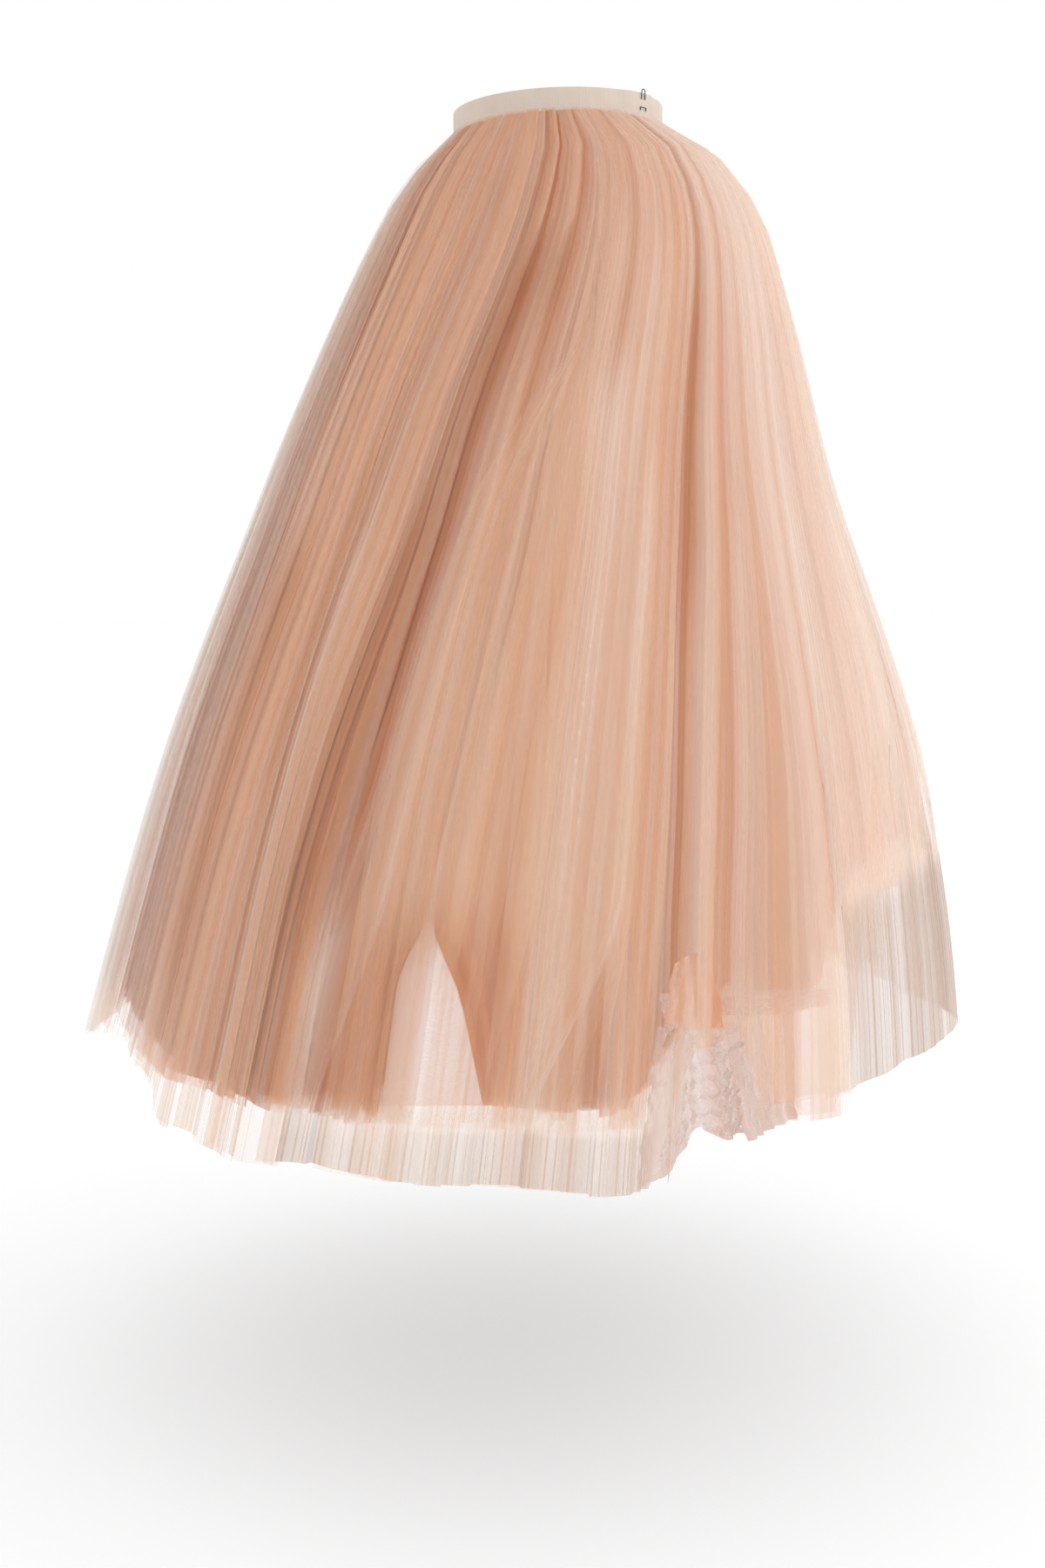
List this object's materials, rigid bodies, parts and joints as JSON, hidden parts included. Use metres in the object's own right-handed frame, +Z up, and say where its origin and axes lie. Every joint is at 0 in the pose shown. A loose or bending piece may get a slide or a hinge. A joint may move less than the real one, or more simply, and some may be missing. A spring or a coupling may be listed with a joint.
{
  "type": "tulle skirt",
  "caption": "Full gathered skirt of nested sheer tulle layers under a narrow ribbed ribbon waistband, closed at the back by a hook and eye, worn and hollow.",
  "frame": {"origin": "middle of the waist ring at the waistband's mid height, where the wearer holds the skirt up", "axes": "+Z up, the wearer's front faces -Y, the wearer's left is +X, the hook and eye are at the back on +Y"},
  "size_m": [0.7927, 0.7713, 0.8528],
  "materials": {
    "ribbon": "ivory ribbed ribbon, matt",
    "metal": "dark bent wire",
    "outer_tulle": "sheer crinkled pale blush tulle",
    "pleated_tulle": "sheer finely pleated blush tulle",
    "peach_tulle": "dense peach tulle",
    "inner_net": "pale pink fine net"
  },
  "bodies": {
    "root": {"waistband": "ribbon", "hook": "metal", "eye_bar": "metal", "outer_tulle": "outer_tulle", "pleated_tulle": "pleated_tulle", "peach_tulle": "peach_tulle", "inner_net": "inner_net"}
  },
  "joints": []
}
